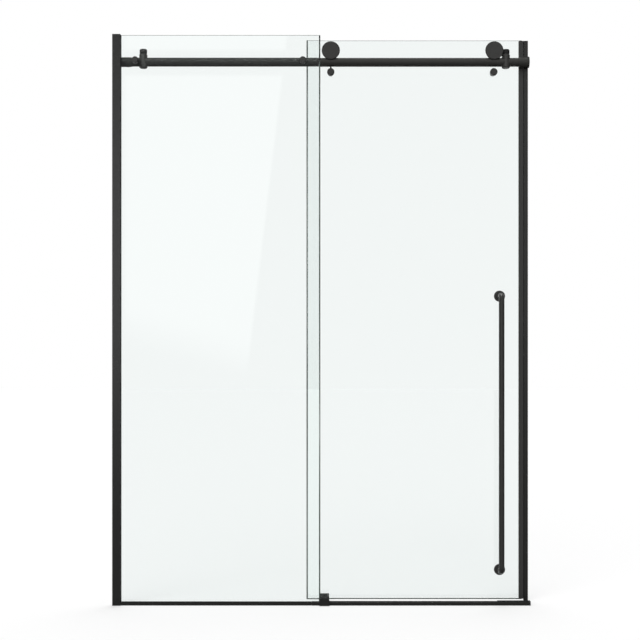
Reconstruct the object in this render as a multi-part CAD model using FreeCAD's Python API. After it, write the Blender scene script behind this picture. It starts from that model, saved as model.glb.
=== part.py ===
import FreeCAD, Part
import math
import os

# Sliding shower door for an alcove: a fixed glass panel on the left, a round rail from wall to wall,
# and a glass door that hangs from the rail on two grooved wheels and closes against a magnetic jamb.
# X runs to the right along the opening, Y away from the room and into the shower, Z up.
# The origin is on the floor, midway between the walls, in the middle plane of the fixed glass.
# All sizes are in millimetres.

# Opening and panels
opening_width = 1413.5
unit_height = 1930.0
glass_thickness = 10.0
fixed_glass_width = 697.0
panel_overlap = 47.5
glass_corner_radius = 5.0
glass_top_gap = 2.0
glass_wall_gap = 6.0
door_drop = 8.0
door_bottom_gap = 8.0

# Clearances and cuts
seat_gap = 0.1
running_gap = 0.3
cut_overrun = 2.0

# Wall channel of the fixed glass
channel_reach = 29.3
channel_depth = 22.0
channel_wall = 2.0
channel_edge_radius = 1.8
channel_cap_thickness = 4.0
channel_cap_corner = 3.6
channel_plug_depth = 12.0
gasket_lip_reach = 8.0
gasket_inset = 0.5
wall_screw_radius = 2.6
wall_screw_end_inset = 150.0
wall_screw_count = 4

# Bottom channel of the fixed glass
bottom_channel_height = 12.0
bottom_channel_depth = 14.0
bottom_channel_wall = 1.5
bottom_channel_edge = 0.8
setting_block_height = 2.5
setting_block_length = 60.0
setting_block_end_inset = 70.0
setting_block_count = 3

# Threshold
threshold_lap = 29.0
threshold_height = 11.5
threshold_front = 8.0
threshold_back = 12.0
threshold_edge = 1.6
threshold_joint_gap = 0.3
threshold_slot_floor = 3.0
glass_slot_gap = 0.5
end_strip_length = 111.0
end_strip_thickness = 2.0

# Rail, wall sockets and grub screws
rail_drop = 87.7
rail_radius = 15.0
rail_wall = 2.0
rail_glass_gap = 12.0
rail_end_gap = 4.0
socket_wall = 1.35
socket_flange_radius = 19.0
socket_flange_thickness = 3.5
socket_base_thickness = 6.0
left_socket_length = 60.0
right_socket_length = 33.0
grub_radius = 2.5
grub_length = 2.2
grub_inset = 11.0
grub_hex_radius = 1.4
grub_hex_depth = 1.0

# Through-glass fixings
glass_hole_radius = 8.0
fixing_bolt_radius = 4.0
fixing_gasket_thickness = 1.5
fixing_thread_depth = 5.0
fixing_cap_radius = 15.0
fixing_cap_length = 7.0
fixing_cap_bevel = 2.0

# Connectors that carry the fixed glass on the rail
connector_cap_radius = 11.4
connector_cap_length = 12.0
left_connector_inset = 78.0
right_connector_inset = 59.0
standoff_radius = 6.0
standoff_collar_radius = 11.0
standoff_collar_length = 6.7
connector_bolt_end = 5.0

# Stops on the rail
stop_width = 27.0
stop_wall = 1.4
stop_below_rail = 20.8
stop_above_rail = 26.4
stop_bottom_bevel = 3.0
stop_top_bevel = 2.0
stop_connector_gap = 3.0
stop_wheel_gap = 5.8
bumper_neck_radius = 11.0
bumper_neck_length = 3.0
bumper_radius = 12.6
bumper_length = 14.3
bumper_bevel = 2.5
stop_grub_radius = 3.0
stop_grub_length = 5.5
stop_grub_hex_radius = 1.7
stop_grub_hex_depth = 2.2

# Wheels
left_wheel_inset = 83.0
right_wheel_inset = 99.5
wheel_width = 20.0
tread_radius = 22.4
rim_radius = 25.8
cover_radius = 30.9
cover_thickness = 3.0
cover_bevel_width = 2.4
cover_bevel_depth = 2.2
cover_hub_radius = 20.0
cover_hub_length = 5.0
bearing_radius = 15.0
bearing_width = 12.0
bearing_inner_race = 3.5
wheel_lip_width = 2.0
wheel_lip = 2.0
axle_head_radius = 7.0
axle_head_length = 4.5
axle_hex_radius = 2.9
axle_hex_depth = 2.5
spacer_neck_radius = 6.5
spacer_neck_gap = 2.0
spacer_collar_radius = 15.0
hanger_length = 12.0

# Anti-jump bushes under the rail
anti_jump_radius = 12.4
anti_jump_gap = 5.0
anti_jump_front_inset = 5.0
anti_jump_bevel = 2.2
anti_jump_collar_radius = 10.5
anti_jump_cap_radius = 9.5
button_radius = 2.6
button_rail_gap = 0.6

# Closing edge and wall jamb
jamb_width = 14.5
jamb_depth = 15.0
jamb_wall = 1.6
jamb_edge_radius = 1.5
jamb_drop = 12.3
jamb_cap_thickness = 2.0
jamb_plug_depth = 8.0
magnet_thickness = 4.0
magnet_face_inset = 0.5
closing_gap = 1.0
strip_web = 1.5
strip_glass_reach = 11.2
strip_edge_radius = 1.5
strip_bottom_inset = 3.0
strip_top_inset = 2.3
door_magnet_pocket = 3.0
door_magnet_width = 9.0
jamb_screw_end_inset = 210.0

# Handle
handle_inset = 77.5
handle_bottom = 111.0
handle_length = 935.0
handle_reach = 57.0
handle_radius = 9.5
handle_bend_radius = 20.0
handle_flange_radius = 19.0
handle_flange_thickness = 5.0
handle_flange_bevel = 1.5
handle_bolt_reach = 12.0

# Bottom guide
guide_right_reach = 31.0
guide_front = 16.5
guide_back_wall = 9.5
guide_height = 25.4
guide_taper = 1.4
guide_fillet = 1.2
guide_slot_floor = 3.0
guide_slot_wall = 1.0
guide_liner_floor = 1.5
guide_glass_gap = 0.5
guide_pocket_depth = 3.0
guide_saddle_gap = 0.3
guide_screw_radius = 2.2
guide_screw_head_radius = 4.2
guide_screw_head_length = 2.6
guide_screw_spacing = 20.0
guide_screw_recess = 1.0
guide_recess_gap = 0.3
same_place = 0.01

# Directions
X_AXIS = FreeCAD.Vector(1, 0, 0)
Y_AXIS = FreeCAD.Vector(0, 1, 0)
Z_AXIS = FreeCAD.Vector(0, 0, 1)
FULL_TURN = 360
HEX_SIDES = 6

# Places along X
wall_left = -opening_width / 2
wall_right = opening_width / 2
fixed_left = wall_left + glass_wall_gap
fixed_right = fixed_left + fixed_glass_width
door_left = fixed_right - panel_overlap
jamb_left = wall_right - jamb_width
strip_right = jamb_left - closing_gap
door_right = strip_right - door_magnet_pocket - strip_web
left_wheel_x = door_left + left_wheel_inset
right_wheel_x = door_right - right_wheel_inset
left_connector_x = wall_left + left_connector_inset
right_connector_x = fixed_right - right_connector_inset
left_stop_x = left_connector_x + standoff_radius + stop_connector_gap + stop_width / 2
right_stop_x = right_wheel_x + tread_radius + stop_wheel_gap + bumper_radius
threshold_left = fixed_right - threshold_lap
handle_x = door_right - handle_inset
guide_x0 = fixed_right - guide_pocket_depth
guide_x1 = fixed_right + guide_right_reach

# Places along Y
glass_front = -glass_thickness / 2
glass_back = glass_thickness / 2
rail_y = glass_back + rail_glass_gap + rail_radius
wheel_front = rail_y - wheel_width / 2
wheel_back = rail_y + wheel_width / 2
door_front = wheel_back + hanger_length
door_back = door_front + glass_thickness
door_mid = (door_front + door_back) / 2
handle_y = door_front - handle_reach
stop_depth = 2 * (rail_radius + seat_gap + stop_wall)

# Places along Z
fixed_bottom = bottom_channel_wall + setting_block_height
fixed_top = unit_height - glass_top_gap
door_bottom = door_bottom_gap
door_top = unit_height - door_drop
rail_height = unit_height - rail_drop
wheel_z = rail_height + rail_radius + running_gap + tread_radius
anti_jump_z = rail_height - rail_radius - anti_jump_gap - anti_jump_radius
handle_top = handle_bottom + handle_length


def block(x0, x1, y0, y1, z0, z1):
    """A box between two corners."""
    return Part.makeBox(x1 - x0, y1 - y0, z1 - z0, FreeCAD.Vector(x0, y0, z0))


def rod_x(radius, x0, x1, y, z):
    return Part.makeCylinder(radius, x1 - x0, FreeCAD.Vector(x0, y, z), X_AXIS)


def rod_y(radius, x, y0, y1, z):
    return Part.makeCylinder(radius, y1 - y0, FreeCAD.Vector(x, y0, z), Y_AXIS)


def rod_z(radius, x, y, z0, z1):
    return Part.makeCylinder(radius, z1 - z0, FreeCAD.Vector(x, y, z0), Z_AXIS)


def ring_y(outer, inner, x, y0, y1, z):
    """A washer or sleeve whose axis lies along Y."""
    return rod_y(outer, x, y0, y1, z).cut(rod_y(inner, x, y0 - cut_overrun, y1 + cut_overrun, z))


def turned_y(points, x, z):
    """A turned piece about the Y line through x and z, from (radius, y) corners."""
    corners = [FreeCAD.Vector(x + radius, y, z) for radius, y in points]
    face = Part.Face(Part.makePolygon(corners + corners[:1]))
    return face.revolve(FreeCAD.Vector(x, 0, z), Y_AXIS, FULL_TURN)


def turned_z(points, x, y):
    """A turned piece about the Z line through x and y, from (radius, z) corners."""
    corners = [FreeCAD.Vector(x + radius, y, z) for radius, z in points]
    face = Part.Face(Part.makePolygon(corners + corners[:1]))
    return face.revolve(FreeCAD.Vector(x, y, 0), Z_AXIS, FULL_TURN)


def drawn_z(points, z0, z1):
    """A profile of (x, y) corners, extruded upwards."""
    corners = [FreeCAD.Vector(x, y, z0) for x, y in points]
    face = Part.Face(Part.makePolygon(corners + corners[:1]))
    return face.extrude(Z_AXIS * (z1 - z0))


def drawn_x(points, x0, x1):
    """A profile of (y, z) corners, extruded to the right."""
    corners = [FreeCAD.Vector(x0, y, z) for y, z in points]
    face = Part.Face(Part.makePolygon(corners + corners[:1]))
    return face.extrude(X_AXIS * (x1 - x0))


def hexagon(radius, centre, direction, depth):
    """A hexagonal socket for a key, to be cut out of a screw."""
    axis = FreeCAD.Vector(direction)
    side = Z_AXIS if abs(axis.z) < abs(axis.y) else X_AXIS
    corners = []
    for step in range(HEX_SIDES):
        turn = FreeCAD.Rotation(axis, step * FULL_TURN / HEX_SIDES)
        corners.append(centre + turn.multVec(side * radius))
    face = Part.Face(Part.makePolygon(corners + corners[:1]))
    return face.extrude(axis * depth)


def edges_along(shape, axis, place, index):
    """The straight edges parallel to an axis whose coordinate at index equals place."""
    chosen = []
    for edge in shape.Edges:
        if len(edge.Vertexes) < 2:
            continue
        start, end = edge.Vertexes[0].Point, edge.Vertexes[-1].Point
        run = end - start
        if run.Length < same_place or run.cross(axis).Length > same_place:
            continue
        if abs(start[index] - place) < same_place:
            chosen.append(edge)
    return chosen


def rounded_corners(shape, radius, corners):
    """Rounds the upright edges that stand at the given (x, y) corners."""
    chosen = []
    for x, y in corners:
        upright = edges_along(shape, Z_AXIS, x, 0)
        chosen += [edge for edge in upright if abs(edge.Vertexes[0].Y - y) < same_place]
    return shape.makeFillet(radius, chosen)


def edges_at_height(shape, z):
    """The edges that lie flat at one height."""
    chosen = []
    for edge in shape.Edges:
        box = edge.BoundBox
        if abs(box.ZMin - z) < same_place and abs(box.ZMax - z) < same_place:
            chosen.append(edge)
    return chosen


def both(make):
    """The two like pieces of one node, from a function of the side."""
    return Part.makeCompound([make(side) for side in range(2)])


# Fixed panel, its channels and the threshold

def wall_screw_heights(end_inset):
    """The screw heights, evenly spaced up the wall."""
    pitch = (unit_height - 2 * end_inset) / (wall_screw_count - 1)
    return [end_inset + step * pitch for step in range(wall_screw_count)]


def wall_channel():
    """A U of extruded aluminium against the left wall, open towards the glass."""
    y0, y1 = -channel_depth / 2, channel_depth / 2
    inner_x = wall_left + channel_wall
    outer_x = wall_left + channel_reach
    top = unit_height - channel_cap_thickness
    profile = [
        (wall_left, y0),
        (outer_x, y0),
        (outer_x, y0 + channel_wall),
        (inner_x, y0 + channel_wall),
        (inner_x, y1 - channel_wall),
        (outer_x, y1 - channel_wall),
        (outer_x, y1),
        (wall_left, y1),
    ]
    shape = drawn_z(profile, 0, top)
    shape = rounded_corners(shape, channel_edge_radius, channel_corners())
    for z in wall_screw_heights(wall_screw_end_inset):
        shape = shape.cut(rod_x(wall_screw_radius, wall_left - cut_overrun, inner_x + cut_overrun, 0, z))
    return shape


def channel_corners():
    """The four outer corners of the channel in plan."""
    y0, y1 = -channel_depth / 2, channel_depth / 2
    outer_x = wall_left + channel_reach
    return [(wall_left, y0), (outer_x, y0), (outer_x, y1), (wall_left, y1)]


def wall_channel_cap():
    """A rounded plate on top of the channel, slotted for the glass, with a rib that plugs in beside it."""
    y0, y1 = -channel_depth / 2, channel_depth / 2
    top = unit_height - channel_cap_thickness
    outer_x = wall_left + channel_reach
    shape = block(wall_left, outer_x, y0, y1, top, unit_height)
    shape = rounded_corners(shape, channel_edge_radius, channel_corners())
    crest = block(wall_left, outer_x, y0, y1, top, unit_height)
    ends = edges_along(crest, Y_AXIS, outer_x, 0)
    upper = [edge for edge in ends if edge.Vertexes[0].Z > top + same_place]
    shape = shape.common(crest.makeFillet(channel_cap_corner, upper))
    slot_y = glass_back + glass_slot_gap
    slot_x0 = fixed_left - glass_slot_gap
    slot_top = fixed_top + glass_slot_gap
    shape = shape.cut(block(slot_x0, outer_x + cut_overrun, -slot_y, slot_y, top - cut_overrun, slot_top))
    rib_x0 = wall_left + channel_wall + seat_gap
    rib_x1 = fixed_left - seat_gap
    rib_y = channel_depth / 2 - channel_wall - seat_gap
    return shape.fuse(block(rib_x0, rib_x1, -rib_y, rib_y, top - channel_plug_depth, top))


def wall_channel_gaskets():
    """A vinyl strip on each side of the glass, at the mouth of the channel."""
    x1 = wall_left + channel_reach - gasket_inset
    x0 = x1 - gasket_lip_reach
    y1 = channel_depth / 2 - channel_wall
    top = unit_height - channel_cap_thickness
    front = block(x0, x1, -y1, glass_front, 0, top)
    back = block(x0, x1, glass_back, y1, 0, top)
    foot = bottom_channel_height
    front = front.cut(block(x0, x1 + gasket_inset, -y1, 0, 0, foot))
    back = back.cut(block(x0, x1 + gasket_inset, 0, y1, 0, foot))
    return Part.makeCompound([front, back])


def fixed_glass():
    """The fixed pane, with rounded free corners and two holes for the connectors."""
    shape = block(fixed_left, fixed_right, glass_front, glass_back, fixed_bottom, fixed_top)
    shape = shape.makeFillet(glass_corner_radius, edges_along(shape, Y_AXIS, fixed_right, 0))
    for x in (left_connector_x, right_connector_x):
        y0, y1 = glass_front - cut_overrun, glass_back + cut_overrun
        shape = shape.cut(rod_y(glass_hole_radius, x, y0, y1, rail_height))
    return shape


def bottom_channel():
    """A low U under the fixed glass, from the wall channel to the threshold."""
    x0 = wall_left + channel_reach
    x1 = threshold_left - threshold_joint_gap
    y1 = bottom_channel_depth / 2
    inner = y1 - bottom_channel_wall
    profile = [
        (-y1, 0),
        (y1, 0),
        (y1, bottom_channel_height),
        (inner, bottom_channel_height),
        (inner, bottom_channel_wall),
        (-inner, bottom_channel_wall),
        (-inner, bottom_channel_height),
        (-y1, bottom_channel_height),
    ]
    shape = drawn_x(profile, x0, x1)
    lip_edges = []
    for y in (-y1, y1):
        at_side = edges_along(shape, X_AXIS, y, 1)
        lip_edges += [edge for edge in at_side if edge.Vertexes[0].Z > bottom_channel_height - same_place]
    return shape.makeFillet(bottom_channel_edge, lip_edges)


def setting_blocks():
    """Neoprene blocks in the bottom channel, which the fixed glass stands on."""
    x0 = wall_left + channel_reach + setting_block_end_inset
    x1 = threshold_left - threshold_joint_gap - setting_block_end_inset
    pitch = (x1 - x0 - setting_block_length) / (setting_block_count - 1)
    blocks = []
    for step in range(setting_block_count):
        left = x0 + step * pitch
        right = left + setting_block_length
        blocks.append(block(left, right, glass_front, glass_back, bottom_channel_wall, fixed_bottom))
    return Part.makeCompound(blocks)


def threshold():
    """A bevelled bar on the floor across the doorway, slotted at its left end for the glass."""
    y0, y1 = -threshold_front, threshold_back
    profile = [
        (y0, 0),
        (y1, 0),
        (y1, threshold_height),
        (y0 + threshold_edge, threshold_height),
        (y0, threshold_height - threshold_edge),
    ]
    shape = drawn_x(profile, threshold_left, wall_right)
    slot_y = glass_back + glass_slot_gap
    top = threshold_height + cut_overrun
    slot_end = fixed_right + glass_slot_gap
    slot = block(threshold_left - cut_overrun, slot_end, -slot_y, slot_y, threshold_slot_floor, top)
    return shape.cut(slot)


def threshold_end_strip():
    """A thin sealing pad on the threshold under the closing edge of the door."""
    y0 = -threshold_front + threshold_edge
    z1 = threshold_height + end_strip_thickness
    return block(wall_right - end_strip_length, wall_right, y0, threshold_back, threshold_height, z1)


# Rail, sockets and stops

def rail_tube():
    """The rail: a round tube from socket to socket, drilled for the connector bolts."""
    x0 = wall_left + socket_base_thickness + rail_end_gap
    x1 = wall_right - socket_base_thickness - rail_end_gap
    shape = rod_x(rail_radius, x0, x1, rail_y, rail_height)
    inner = rail_radius - rail_wall
    shape = shape.cut(rod_x(inner, x0 - cut_overrun, x1 + cut_overrun, rail_y, rail_height))
    for x in (left_connector_x, right_connector_x):
        drill = rod_y(fixing_bolt_radius + seat_gap, x, glass_back, rail_y, rail_height)
        shape = shape.cut(drill)
    return shape


def socket_length(side):
    return right_socket_length if side else left_socket_length


def socket_span(side, near, far):
    """The two X places at the given distances from a wall, in rising order."""
    if side:
        return wall_right - far, wall_right - near
    return wall_left + near, wall_left + far


def rail_socket(side):
    """A wall flange with a sleeve that the rail slides into and a hole for a wall screw."""
    length = socket_length(side)
    sleeve = rod_x(rail_radius + seat_gap + socket_wall, *socket_span(side, 0, length), rail_y, rail_height)
    flange_span = socket_span(side, 0, socket_flange_thickness)
    shape = sleeve.fuse(rod_x(socket_flange_radius, *flange_span, rail_y, rail_height))
    bore_span = socket_span(side, socket_base_thickness, length + cut_overrun)
    shape = shape.cut(rod_x(rail_radius + seat_gap, *bore_span, rail_y, rail_height))
    drill_span = socket_span(side, -cut_overrun, socket_base_thickness + cut_overrun)
    shape = shape.cut(rod_x(wall_screw_radius, *drill_span, rail_y, rail_height))
    x = grub_x(side)
    top = rail_height - rail_radius
    drill = rod_z(grub_radius + seat_gap, x, rail_y, top - grub_length - cut_overrun, top)
    return shape.cut(drill)


def grub_x(side):
    """Where the grub screw of a socket stands along the rail."""
    span = socket_span(side, socket_length(side) - grub_inset, socket_length(side))
    return span[0] if not side else span[1]


def rail_grub_screw(side):
    """A grub screw that clamps the rail from below."""
    top = rail_height - rail_radius
    bottom = top - grub_length
    shape = rod_z(grub_radius, grub_x(side), rail_y, bottom, top)
    centre = FreeCAD.Vector(grub_x(side), rail_y, bottom)
    return shape.cut(hexagon(grub_hex_radius, centre, Z_AXIS, grub_hex_depth))


def stop_x(side):
    return right_stop_x if side else left_stop_x


def rail_stop(side):
    """A rounded block clamped on the rail, bored for it, with a bottom grub screw."""
    x = stop_x(side)
    half_width = stop_width / 2
    end_y = stop_depth / 2 - half_width
    z0 = rail_height - stop_below_rail
    z1 = rail_height + stop_above_rail
    shape = block(x - half_width, x + half_width, rail_y - end_y, rail_y + end_y, z0, z1)
    shape = shape.fuse(rod_z(half_width, x, rail_y - end_y, z0, z1))
    shape = shape.fuse(rod_z(half_width, x, rail_y + end_y, z0, z1)).removeSplitter()
    shape = shape.makeChamfer(stop_bottom_bevel, edges_at_height(shape, z0))
    shape = shape.makeChamfer(stop_top_bevel, edges_at_height(shape, z1))
    x0, x1 = x - half_width - cut_overrun, x + half_width + cut_overrun
    shape = shape.cut(rod_x(rail_radius + seat_gap, x0, x1, rail_y, rail_height))
    top = rail_height - rail_radius
    return shape.cut(rod_z(stop_grub_radius + seat_gap, x, rail_y, z0 - cut_overrun, top))


def stop_bumper(side):
    """A rubber buffer on top of a stop, at the height of the wheel axle."""
    x = stop_x(side)
    z0 = rail_height + stop_above_rail
    z1 = z0 + bumper_neck_length
    z2 = z1 + bumper_length
    profile = [(0, z0), (bumper_neck_radius, z0), (bumper_neck_radius, z1), (bumper_radius, z1)]
    profile += [(bumper_radius, z2 - bumper_bevel), (bumper_radius - bumper_bevel, z2), (0, z2)]
    return turned_z(profile, x, rail_y)


def stop_grub_screw(side):
    """The grub screw that holds a stop on the rail."""
    x = stop_x(side)
    top = rail_height - rail_radius
    bottom = top - stop_grub_length
    shape = rod_z(stop_grub_radius, x, rail_y, bottom, top)
    centre = FreeCAD.Vector(x, rail_y, bottom)
    return shape.cut(hexagon(stop_grub_hex_radius, centre, Z_AXIS, stop_grub_hex_depth))


# Connectors between the fixed glass and the rail

def connector_x(side):
    return right_connector_x if side else left_connector_x


def connector_cap(side):
    """The bevelled cap in front of the fixed glass, with a blind threaded hole."""
    x = connector_x(side)
    y1 = glass_front - fixing_gasket_thickness
    y0 = y1 - connector_cap_length
    profile = [
        (0, y0),
        (connector_cap_radius - fixing_cap_bevel, y0),
        (connector_cap_radius, y0 + fixing_cap_bevel),
        (connector_cap_radius, y1),
        (0, y1),
    ]
    shape = turned_y(profile, x, rail_height)
    thread = rod_y(fixing_bolt_radius + seat_gap, x, y1 - fixing_thread_depth, y1 + cut_overrun, rail_height)
    return shape.cut(thread)


def connector_gasket(side):
    """The washer between the glass and the collar of a standoff."""
    y1 = glass_back + fixing_gasket_thickness
    bore = fixing_bolt_radius + seat_gap
    return ring_y(standoff_collar_radius, bore, connector_x(side), glass_back, y1, rail_height)


def connector_bush(side):
    """The flanged nylon bush that keeps the bolt and the cap off the glass."""
    flange_radius = connector_cap_radius - seat_gap
    return flanged_bush(connector_x(side), rail_height, glass_front, glass_back, flange_radius)


def connector_standoff(side):
    """The post from the glass to the rail, its end scooped to seat on the round tube."""
    x = connector_x(side)
    y0 = glass_back + fixing_gasket_thickness
    scoop = math.sqrt(rail_radius ** 2 - standoff_radius ** 2)
    shape = rod_y(standoff_radius, x, y0, rail_y - scoop, rail_height)
    shape = shape.fuse(rod_y(standoff_collar_radius, x, y0, y0 + standoff_collar_length, rail_height))
    span = (x - standoff_collar_radius, x + standoff_collar_radius)
    shape = shape.cut(rod_x(rail_radius + seat_gap, *span, rail_y, rail_height))
    return shape.cut(rod_y(fixing_bolt_radius + seat_gap, x, y0 - cut_overrun, rail_y, rail_height))


def connector_bolt(side):
    """The threaded rod from the front cap through the glass and into the rail."""
    y0 = glass_front - fixing_gasket_thickness - fixing_thread_depth + seat_gap
    y1 = rail_y - rail_radius + rail_wall + connector_bolt_end
    return rod_y(fixing_bolt_radius, connector_x(side), y0, y1, rail_height)


# Wall jamb and closing edge

def jamb_right():
    """A U of extruded aluminium on the right wall, open towards the door."""
    y0 = door_mid - jamb_depth / 2
    y1 = door_mid + jamb_depth / 2
    inner_x = wall_right - jamb_wall
    profile = [
        (wall_right, y0),
        (jamb_left, y0),
        (jamb_left, y0 + jamb_wall),
        (inner_x, y0 + jamb_wall),
        (inner_x, y1 - jamb_wall),
        (jamb_left, y1 - jamb_wall),
        (jamb_left, y1),
        (wall_right, y1),
    ]
    shape = drawn_z(profile, 0, unit_height - jamb_drop)
    shape = rounded_corners(shape, jamb_edge_radius, jamb_corners())
    for z in wall_screw_heights(jamb_screw_end_inset):
        drill = rod_x(wall_screw_radius, inner_x - cut_overrun, wall_right + cut_overrun, door_mid, z)
        shape = shape.cut(drill)
    return shape


def jamb_corners():
    """The four outer corners of the jamb in plan."""
    y0 = door_mid - jamb_depth / 2
    y1 = door_mid + jamb_depth / 2
    return [(wall_right, y0), (jamb_left, y0), (jamb_left, y1), (wall_right, y1)]


def jamb_cap():
    """The plug in the top end of the jamb."""
    y0 = door_mid - jamb_depth / 2
    y1 = door_mid + jamb_depth / 2
    z0 = unit_height - jamb_drop
    shape = block(jamb_left, wall_right, y0, y1, z0, z0 + jamb_cap_thickness)
    shape = rounded_corners(shape, jamb_edge_radius, jamb_corners())
    x0 = jamb_left + magnet_face_inset + magnet_thickness + seat_gap
    x1 = wall_right - jamb_wall - seat_gap
    rib_y = jamb_depth / 2 - jamb_wall - seat_gap
    return shape.fuse(block(x0, x1, door_mid - rib_y, door_mid + rib_y, z0 - jamb_plug_depth, z0))


def jamb_magnet_strip():
    """The magnetic strip held in the mouth of the jamb."""
    x0 = jamb_left + magnet_face_inset
    half = jamb_depth / 2 - jamb_wall
    return block(x0, x0 + magnet_thickness, door_mid - half, door_mid + half, 0, unit_height - jamb_drop)


def closing_strip():
    """The black profile on the closing edge of the door, with a pocket for its magnet."""
    y0 = door_mid - jamb_depth / 2
    y1 = door_mid + jamb_depth / 2
    x0 = door_right - strip_glass_reach
    pocket_y = door_magnet_width / 2
    web = door_right + strip_web
    profile = [
        (x0, y0),
        (strip_right, y0),
        (strip_right, door_mid - pocket_y),
        (web, door_mid - pocket_y),
        (web, door_mid + pocket_y),
        (strip_right, door_mid + pocket_y),
        (strip_right, y1),
        (x0, y1),
        (x0, door_back),
        (door_right, door_back),
        (door_right, door_front),
        (x0, door_front),
    ]
    shape = drawn_z(profile, door_bottom + strip_bottom_inset, door_top - strip_top_inset)
    corners = [(x0, y0), (strip_right, y0), (strip_right, y1), (x0, y1)]
    return rounded_corners(shape, strip_edge_radius, corners)


def door_magnet_strip():
    """The magnetic strip in the closing edge of the door."""
    x0 = door_right + strip_web
    x1 = strip_right - magnet_face_inset
    half = door_magnet_width / 2
    z0 = door_bottom + strip_bottom_inset
    return block(x0, x1, door_mid - half, door_mid + half, z0, door_top - strip_top_inset)


# Door panel and what hangs it

def wheel_x(side):
    return right_wheel_x if side else left_wheel_x


def sliding_glass():
    """The moving pane, drilled for the wheels, the anti-jump bushes and the handle."""
    shape = block(door_left, door_right, door_front, door_back, door_bottom, door_top)
    shape = shape.makeFillet(glass_corner_radius, edges_along(shape, Y_AXIS, door_left, 0))
    centres = [(handle_x, handle_bottom), (handle_x, handle_top)]
    for side in range(2):
        centres.append((wheel_x(side), wheel_z))
        centres.append((wheel_x(side), anti_jump_z))
    for x, z in centres:
        y0, y1 = door_front - cut_overrun, door_back + cut_overrun
        shape = shape.cut(rod_y(glass_hole_radius, x, y0, y1, z))
    return shape


def back_cap(x, z, radius):
    """The bevelled cap nut on the shower side of the door glass."""
    y0 = door_back
    y1 = y0 + fixing_cap_length
    profile = [
        (0, y0),
        (radius, y0),
        (radius, y1 - fixing_cap_bevel),
        (radius - fixing_cap_bevel, y1),
        (0, y1),
    ]
    shape = turned_y(profile, x, z)
    bore = fixing_bolt_radius + seat_gap
    return shape.cut(rod_y(bore, x, y0 - cut_overrun, y0 + fixing_thread_depth, z))


def bolt_back():
    """How far back a bolt reaches inside its cap nut."""
    return door_back + fixing_thread_depth - seat_gap


def flanged_bush(x, z, front, back, flange_radius):
    """A nylon sleeve in a glass hole, with a flange on the room side of the pane."""
    sleeve = glass_hole_radius - seat_gap
    bore = fixing_bolt_radius + seat_gap
    flange_front = front - fixing_gasket_thickness
    profile = [
        (bore, flange_front),
        (flange_radius, flange_front),
        (flange_radius, front),
        (sleeve, front),
        (sleeve, back),
        (bore, back),
    ]
    return turned_y(profile, x, z)


def door_bush(x, z, flange_radius):
    return flanged_bush(x, z, door_front, door_back, flange_radius)


# Places of the bearing inside the wheel
bearing_back = wheel_back - wheel_lip_width
bearing_front = bearing_back - bearing_width
inner_race_radius = fixing_bolt_radius + seat_gap + bearing_inner_race
shield_bore = inner_race_radius + running_gap


def axle_bolt(side):
    """The axle: a socket-head bolt from inside the wheel through the door glass."""
    x = wheel_x(side)
    head_front = bearing_front - axle_head_length
    shape = rod_y(fixing_bolt_radius, x, bearing_front, bolt_back(), wheel_z)
    shape = shape.fuse(rod_y(axle_head_radius, x, head_front, bearing_front, wheel_z))
    centre = FreeCAD.Vector(x, head_front, wheel_z)
    return shape.cut(hexagon(axle_hex_radius, centre, Y_AXIS, axle_hex_depth))


def axle_spacer(side):
    """The collared spacer between the bearing and the door glass."""
    x = wheel_x(side)
    collar_front = wheel_back + spacer_neck_gap
    y1 = door_front - fixing_gasket_thickness
    shape = rod_y(spacer_neck_radius, x, bearing_back, collar_front, wheel_z)
    shape = shape.fuse(rod_y(spacer_collar_radius, x, collar_front, y1, wheel_z))
    bore = fixing_bolt_radius + seat_gap
    return shape.cut(rod_y(bore, x, bearing_back - cut_overrun, y1 + cut_overrun, wheel_z))


def hanger_bushes():
    """The flanged bushes of the wheels and anti-jump bushes."""
    bushes = []
    for side in range(2):
        bushes.append(door_bush(wheel_x(side), wheel_z, spacer_collar_radius))
        bushes.append(door_bush(wheel_x(side), anti_jump_z, anti_jump_collar_radius))
    return Part.makeCompound(bushes)


def bearing_inner_ring(side):
    """The inner race of the wheel bearing, clamped on the axle."""
    x = wheel_x(side)
    return ring_y(inner_race_radius, fixing_bolt_radius + seat_gap, x, bearing_front, bearing_back, wheel_z)


def bearing_outer_ring(side):
    """The outer race of the sealed wheel bearing with its shields, pressed into the wheel."""
    outer = bearing_radius - seat_gap
    return ring_y(outer, shield_bore, wheel_x(side), bearing_front, bearing_back, wheel_z)


def wheel_tyre(side):
    """The nylon wheel, its tread hollowed to the round of the rail, bored for the bearing."""
    x = wheel_x(side)
    shape = rod_y(rim_radius, x, wheel_front, wheel_back, wheel_z)
    centre = FreeCAD.Vector(x, rail_y, wheel_z)
    groove = Part.makeTorus(wheel_z - rail_height, rail_radius + running_gap, centre, Y_AXIS)
    shape = shape.cut(groove)
    shape = shape.cut(rod_y(bearing_radius, x, wheel_front - cut_overrun, bearing_back, wheel_z))
    lip_bore = bearing_radius - wheel_lip
    return shape.cut(rod_y(lip_bore, x, wheel_front, wheel_back + cut_overrun, wheel_z))


def wheel_cover(side):
    """The bevelled disc that hides the bearing, with a hub that seats on the wheel."""
    y2 = wheel_front
    y1 = y2 - cover_hub_length
    y0 = y1 - cover_thickness
    profile = [
        (0, y0),
        (cover_radius - cover_bevel_width, y0),
        (cover_radius, y0 + cover_bevel_depth),
        (cover_radius, y1),
        (cover_hub_radius, y1),
        (cover_hub_radius, y2),
        (bearing_radius, y2),
        (bearing_radius, y1),
        (0, y1),
    ]
    return turned_y(profile, wheel_x(side), wheel_z)


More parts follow.
